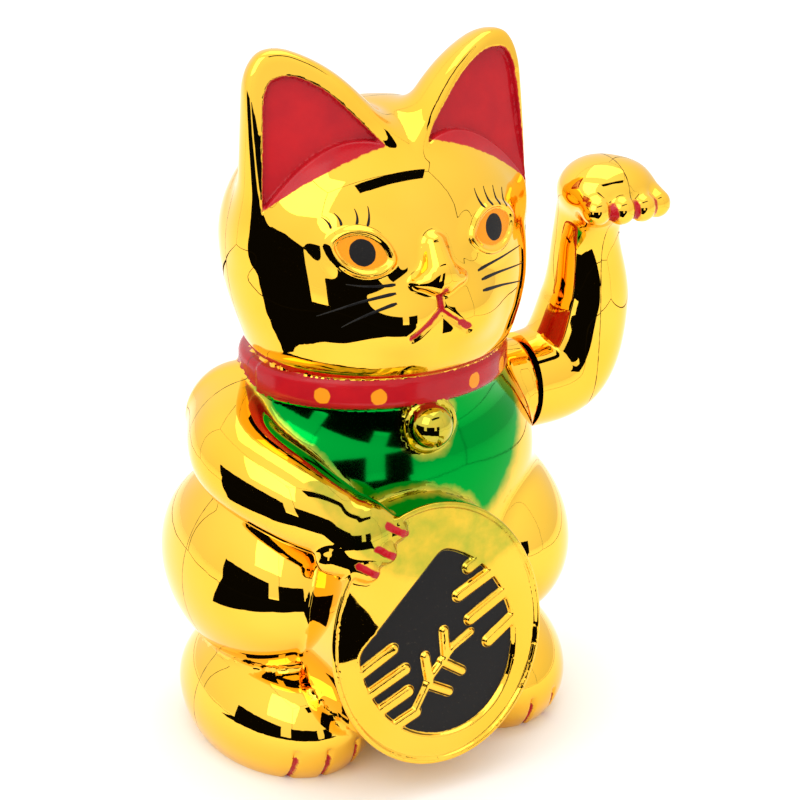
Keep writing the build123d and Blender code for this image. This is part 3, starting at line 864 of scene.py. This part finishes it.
def metal(name, color, rough=0.28, grain=2200):
    """Bare or plated metal with a brushed unevenness."""
    n = Nodes(name)
    n.shader.inputs["Metallic"].default_value = 1.0
    n.put(n.shader.inputs["Base Color"], n.mix(n.noise(400, 4), color, darker(color, 0.75)))
    n.put(n.shader.inputs["Roughness"], n.ranged(n.noise(grain, 4), 0.3, 0.7, rough - 0.1, rough + 0.12))
    n.bump(n.noise(grain, 2), 0.12, 0.00005)
    return n.material


def enamel(name, color, rough):
    """Brushed-on paint."""
    n = Nodes(name)
    n.put(n.shader.inputs["Base Color"], n.mix(n.noise(700, 3), color, darker(color, 0.6)))
    n.put(n.shader.inputs["Roughness"], n.ranged(n.noise(1200, 3), 0.3, 0.7, rough - 0.06, rough + 0.08))
    n.shader.inputs["Specular IOR Level"].default_value = 0.25
    return n.material


gold_painted = painted_gold("gold_with_paint", PAINTS, ("Y", 0.0))
gold_arm = painted_gold("gold_arm", ["paint_red"], ("X", ARM_SPLIT_X * MM))
black_enamel = enamel("black_enamel", BLACK, 0.45)

CAD_MATERIALS = {
    "gold_plating": gold_arm,
    "black_plastic": moulded_plastic("black_plastic", (0.03, 0.03, 0.033, 1)),
    "cream_plastic": moulded_plastic("cream_plastic", (0.74, 0.7, 0.58, 1)),
    "cell_jacket": moulded_plastic("cell_jacket", (0.05, 0.07, 0.16, 1), 0.25),
    "steel": metal("steel", (0.62, 0.62, 0.64, 1)),
    "nickel": metal("nickel", (0.74, 0.71, 0.66, 1), 0.18),
    "board_laminate": moulded_plastic("board_laminate", (0.42, 0.24, 0.08, 1), 0.5, 900),
    "copper_winding": metal("copper_winding", (0.8, 0.33, 0.14, 1), 0.3),
    "component_black": moulded_plastic("component_black", (0.02, 0.02, 0.022, 1), 0.5),
    "capacitor_sleeve": moulded_plastic("capacitor_sleeve", (0.02, 0.05, 0.22, 1), 0.3),
    "resistor_body": moulded_plastic("resistor_body", (0.62, 0.45, 0.24, 1), 0.35),
    "red_insulation": moulded_plastic("red_insulation", (0.5, 0.01, 0.01, 1), 0.4),
    "black_insulation": moulded_plastic("black_insulation", (0.015, 0.015, 0.015, 1), 0.4),
}


def dress_cad_nodes():
    """Gives every CAD node the material of its slot in the record."""
    for part in frame["record"]["subparts"]:
        obj = frame["nodes"][part["node"]]
        for slot in obj.material_slots:
            slot.link = "DATA"
            slot.material = CAD_MATERIALS[part["material_slot"]]


# ---- pieces; each near_ function picks the points round a feature that needs a finer mesh ----
def near_face(p):
    return (p[:, 1] < -14) & (p[:, 2] > 90) & (p[:, 2] < 122) & (np.abs(p[:, 0]) < 23)


def near_coin(p):
    u, v, out = coin_plane(p)
    return (out > 0.5) & ((u / 26) ** 2 + (v / 30) ** 2 < 1)


def near_ears(p):
    u, v, z = ear_local(p)
    return (np.abs(v - EAR_FACE) < 8) & (z > 110)


def near_ear_edge(p):
    u, v, z = ear_local(p)
    edge = np.minimum(np.abs(ear_sides(u, z) + 0.6), np.abs(ear_fold(u, 5.2) - z))
    inside = (ear_sides(u, z) < 1.5) & (z > ear_fold(u, 0.0) - 1)
    return (np.abs(v - EAR_FACE - EAR_SLOPE * (z - 118)) < 3.5) & inside & ((edge < 1.6) | (z > TOP_Z - 6))


def near_arm(p):
    return (p[:, 0] < -2) & (p[:, 1] < -18) & (p[:, 2] > 40) & (p[:, 2] < 76)


def near_small(p):
    bell_near = length(p - np.array(BELL_AT, float)) < 8
    toes = (p[:, 1] < -18) & (p[:, 2] < 11)
    band = np.abs(p[:, 2] - COLLAR_Z) < COLLAR_TALL / 2 + 1.5
    return bell_near | toes | (band & (p[:, 1] < 2))


def half_shell(name, whole, inside, bore, low, high):
    """One hollow half: the whole form less its inside and a round bore, between two corners."""
    half = box_mesh(low, high)
    steps = [("DIFFERENCE", inside.copy()), ("DIFFERENCE", bore), ("INTERSECT", half)]
    return cut(name + "_skin", whole.copy(), *steps)


def body_shells():
    """The front and back halves of the body, parted at the seam, with the shaft's hole in each."""
    levels = [lambda p: near_face(p) | near_coin(p) | near_ears(p) | near_small(p) | near_arm(p)]
    levels.append(lambda p: near_face(p) | near_coin(p) | near_ear_edge(p))
    whole = make_mesh("body", body, *BODY_SPAN, BODY_STEP, levels)
    inside = make_mesh("inside", hollow, *BODY_SPAN, BODY_INSIDE_STEP)
    for name, y0, y1 in (("front_shell", -BIG, 0), ("back_shell", 0, BIG)):
        hole = rod_mesh(ROD_START_X, ARM_ROOT_X + 5, SHAFT_HOLE_R)
        obj = half_shell(name, whole, inside, hole, (-BIG, y0, 0), (BIG, y1, BIG))
        add_paint(obj, PAINTS)
        finish_piece(obj, "cat", gold_painted, [name])


def arm_halves():
    """The raised arm's inner and outer halves, round a solid hub with the shaft's bore."""
    whole = make_mesh("arm", wave_arm, *ARM_SPAN, ARM_STEP)
    inside = make_mesh("arm_inside", wave_hollow, *ARM_SPAN, ARM_INSIDE_STEP)
    for name, x0, x1 in (("arm_inner_half", ARM_ROOT_X, ARM_SPLIT_X), ("arm_outer_half", ARM_SPLIT_X, BIG)):
        bore = rod_mesh(ROD_START_X, HUB_END - 1.5, BORE_R)
        obj = half_shell(name, whole, inside, bore, (x0, -BIG, 0), (x1, BIG, BIG))
        add_paint(obj, {"paint_red": paw_red})
        finish_piece(obj, "raised_arm", gold_arm, [name])


def paw_red(p):
    """Red strokes between the raised paw's toes."""
    d = np.full(len(p), BIG)
    for (x0, a), (x1, b) in zip(TOES, TOES[1:]):
        at = np.array(((x0 + x1) / 2, -21.0 + (a + b) / 2, 112.6))
        d = np.minimum(d, length((p - at) / np.array((1.0, 2.4, 2.6))) - 0.9)
    return d


def front_of(form, x, z):
    """The y where a line along +Y at each (x, z) first meets a form."""
    y = np.full(len(x), -46.0)
    for _ in range(60):
        y = y + 0.8 * form(np.stack([x, y, z], 1))
    return y


def brush_strokes(name, lines, width, lift=0.1):
    """Thin painted lines that lie on the face, each from a thick start (x, z) to a fine end (x, z)."""
    verts, faces = [], []
    cuts = 14
    for (x0, z0), (x1, z1), bow in lines:
        t = np.linspace(0, 1, cuts)
        run = math.hypot(x1 - x0, z1 - z0)
        side_x, side_z = -(z1 - z0) / run, (x1 - x0) / run
        x = x0 + (x1 - x0) * t + side_x * bow * 4 * t * (1 - t)
        z = z0 + (z1 - z0) * t + side_z * bow * 4 * t * (1 - t)
        half = width / 2 * np.sqrt(np.clip(t * 12, 0.3, 1)) * (1 - 0.75 * t)
        rows = []
        for across, height in ((-1, 0.02), (0, lift), (1, 0.02), (0, -0.2)):
            px, pz = x + side_x * half * across, z + side_z * half * across
            point = np.stack([px, front_of(body, px, pz), pz], 1)
            normal = slope(body, point)
            rows.append(point + normal / length(normal)[:, None] * height)
        start = len(verts)
        for i in range(cuts):
            verts += [tuple(row[i]) for row in rows]
        for i in range(cuts - 1):
            for k in range(4):
                a, b = start + 4 * i + k, start + 4 * i + (k + 1) % 4
                faces.append((a, b, b + 4, a + 4))
        faces += [(start + 3, start + 2, start + 1, start), tuple(start + 4 * cuts - 4 + k for k in range(4))]
    mesh = bpy.data.meshes.new(name)
    mesh.from_pydata(verts, [], faces)
    finish_piece(add_object(name, mesh), "cat", black_enamel)


WHISKERS = [
    ((9.6, 107.0), (24.0, 108.2), 0.5),
    ((10.2, 105.2), (24.6, 104.4), 0.5),
    ((10.0, 103.2), (24.0, 100.9), 0.4),
    ((-9.0, 106.8), (-18.0, 107.1), 0.3),
    ((-9.2, 105.2), (-23.0, 100.5), -0.6),
    ((-9.4, 103.4), (-19.0, 98.4), -0.5),
]
LASHES = [
    ((13.0, 118.6), (11.6, 122.3), 0.3),
    ((15.2, 118.7), (14.2, 122.2), 0.3),
    ((17.4, 118.3), (17.0, 121.8), 0.3),
    ((19.4, 117.5), (19.8, 120.8), 0.3),
    ((-13.0, 118.0), (-12.2, 121.6), -0.3),
    ((-14.9, 118.4), (-14.7, 121.2), -0.3),
    ((-17.6, 118.2), (-18.4, 120.4), -0.3),
    ((-19.4, 117.6), (-20.6, 119.6), -0.3),
]


def face_marks():
    """The black whiskers and lashes, brushed on."""
    brush_strokes("whiskers", WHISKERS, 0.75)
    brush_strokes("lashes", LASHES, 0.6)


body_shells()
arm_halves()
face_marks()
dress_cad_nodes()


# ---- studio ----
def paper(name, color):
    """The matt white sheet that the cat stands on."""
    n = Nodes(name)
    n.put(n.shader.inputs["Base Color"], n.mix(n.noise(3, 3), color, darker(color, 0.97)))
    n.shader.inputs["Roughness"].default_value = 0.8
    return n.material


def add_floor():
    mesh = bpy.data.meshes.new("floor")
    half = 3.0
    corners = [(-half, -half, 0), (half, -half, 0), (half, half, 0), (-half, half, 0)]
    mesh.from_pydata(corners, [], [(0, 1, 2, 3)])
    floor = add_object("floor", mesh)
    mesh.materials.append(paper("floor_paper", (0.96, 0.96, 0.95, 1)))


def add_area(name, place, aim, size, power):
    """A square soft light, size metres wide, that faces aim."""
    light = bpy.data.lights.new(name, "AREA")
    light.shape, light.size, light.energy = "SQUARE", size, power
    obj = bpy.data.objects.new(name, light)
    scene.collection.objects.link(obj)
    obj.location = place
    obj.rotation_euler = (Vector(aim) - Vector(place)).to_track_quat("-Z", "Y").to_euler()
    return obj


def add_world():
    """A white tent, a little brighter overhead and on the camera's left."""
    world = bpy.data.worlds.new("tent")
    scene.world = world
    world.use_nodes = True
    tree = world.node_tree
    back = tree.nodes["Background"]
    back.inputs["Color"].default_value = (1, 1, 1, 1)
    place = tree.nodes.new("ShaderNodeTexCoord")
    lean = tree.nodes.new("ShaderNodeVectorMath")
    lean.operation = "DOT_PRODUCT"
    lean.inputs[1].default_value = (-0.35, -0.1, 0.93)
    ramp = tree.nodes.new("ShaderNodeMapRange")
    tree.links.new(place.outputs["Generated"], lean.inputs[0])
    tree.links.new(lean.outputs["Value"], ramp.inputs["Value"])
    ramp.inputs["From Min"].default_value = -0.6
    ramp.inputs["From Max"].default_value = 1.0
    ramp.inputs["To Min"].default_value = 0.85
    ramp.inputs["To Max"].default_value = 1.35
    tree.links.new(ramp.outputs["Result"], back.inputs["Strength"])


def reflected_only(name, mesh, color):
    """A panel of the studio that shows in mirror reflections and nowhere else."""
    obj = add_object(name, mesh)
    n = Nodes(name + "_cloth")
    cloth = n.add("ShaderNodeEmission")
    cloth.inputs["Color"].default_value = color
    n.link(cloth.outputs[0], n.tree.nodes["Material Output"].inputs["Surface"])
    mesh.materials.append(n.material)
    obj.visible_camera = obj.visible_diffuse = obj.visible_shadow = False


def flat_mesh(name, corners):
    mesh = bpy.data.meshes.new(name)
    mesh.from_pydata(corners, [], [tuple(range(len(corners)))])
    return mesh


def polar(turn, distance, height):
    """A place round the cat; turn 0 is straight in front, and a negative one is on its coin arm's side."""
    angle = math.radians(turn)
    return (math.sin(angle) * distance, -math.cos(angle) * distance, height)


def add_dark_front():
    """The dark room seen past the white sheet's front edge, and the slit in the tent's roof."""
    turns = [-104, -80, -55, -30, -5, 14]
    near = [0.11, 0.12, 0.14, 0.15, 0.14, 0.14]
    ground = [polar(t, d, 0.0015) for t, d in zip(turns, near)]
    ground += [polar(t, 0.6, 0.0015) for t in reversed(turns)]
    reflected_only("dark_ground", flat_mesh("dark_ground", ground), DARK)
    for i, (t0, t1) in enumerate(((-104, -58), (-46, -8), (2, 16))):
        wall = [polar(t0, 0.6, 0.0), polar(t1, 0.6, 0.0), polar(t1, 0.6, 0.18), polar(t0, 0.6, 0.18)]
        reflected_only("dark_wall_%d" % i, flat_mesh("dark_wall", wall), DARK)
    slit = [(-0.16, -0.40, 0.62), (0.34, -0.34, 0.62), (0.34, -0.46, 0.62), (-0.16, -0.54, 0.62)]
    reflected_only("roof_slit", flat_mesh("roof_slit", slit), DARK)


def add_seams():
    """The tent's sewn edges: thin dark lines that only mirror reflections see."""
    x, y, z, w = 0.30, 0.30, 0.52, 0.0022
    runs = []
    for sx in (-x, x):
        for sy in (-y, y):
            runs.append(((sx, sy, 0.001), (sx, sy, z)))
    for h in (0.001, z):
        for sx in (-x, x):
            runs.append(((sx, -y, h), (sx, y, h)))
        for sy in (-y, y):
            runs.append(((-x, sy, h), (x, sy, h)))
    verts, faces = [], []
    for a, b in runs:
        low = [min(a[i], b[i]) - w / 2 for i in range(3)]
        high = [max(a[i], b[i]) + w / 2 for i in range(3)]
        cube = box_mesh(low, high)
        start = len(verts)
        verts += [tuple(v.co) for v in cube.vertices]
        faces += [tuple(start + i for i in f.vertices) for f in cube.polygons]
    mesh = bpy.data.meshes.new("tent_seams")
    mesh.from_pydata(verts, [], faces)
    reflected_only("tent_seams", mesh, SEAM_GREY)


CAMERA_FOCUS = Vector((0, 0, 0.072))
CAMERA_TURN = math.radians(-27)
CAMERA_RISE = math.radians(20.5)
CAMERA_RANGE = 0.465
CAMERA_LENS = 98.3


def add_camera():
    data = bpy.data.cameras.new("camera")
    camera = bpy.data.objects.new("camera", data)
    scene.collection.objects.link(camera)
    back = Vector((
        math.sin(CAMERA_TURN) * math.cos(CAMERA_RISE),
        -math.cos(CAMERA_TURN) * math.cos(CAMERA_RISE),
        math.sin(CAMERA_RISE),
    ))
    camera.location = CAMERA_FOCUS + back * CAMERA_RANGE
    camera.rotation_euler = (-back).to_track_quat("-Z", "Y").to_euler()
    data.sensor_width, data.lens, data.shift_x = 36.0, CAMERA_LENS, 0.035
    data.clip_start, data.clip_end = 0.01, 20
    scene.camera = camera


add_floor()
add_world()
add_seams()
add_camera()
add_dark_front()
add_area("key", (-0.75, -0.45, 0.85), (0, 0, 0.08), 0.7, 2.6)
add_area("top", (0.15, 0.1, 1.1), (0, 0, 0), 0.8, 2.2)
scene.view_settings.view_transform = "Standard"
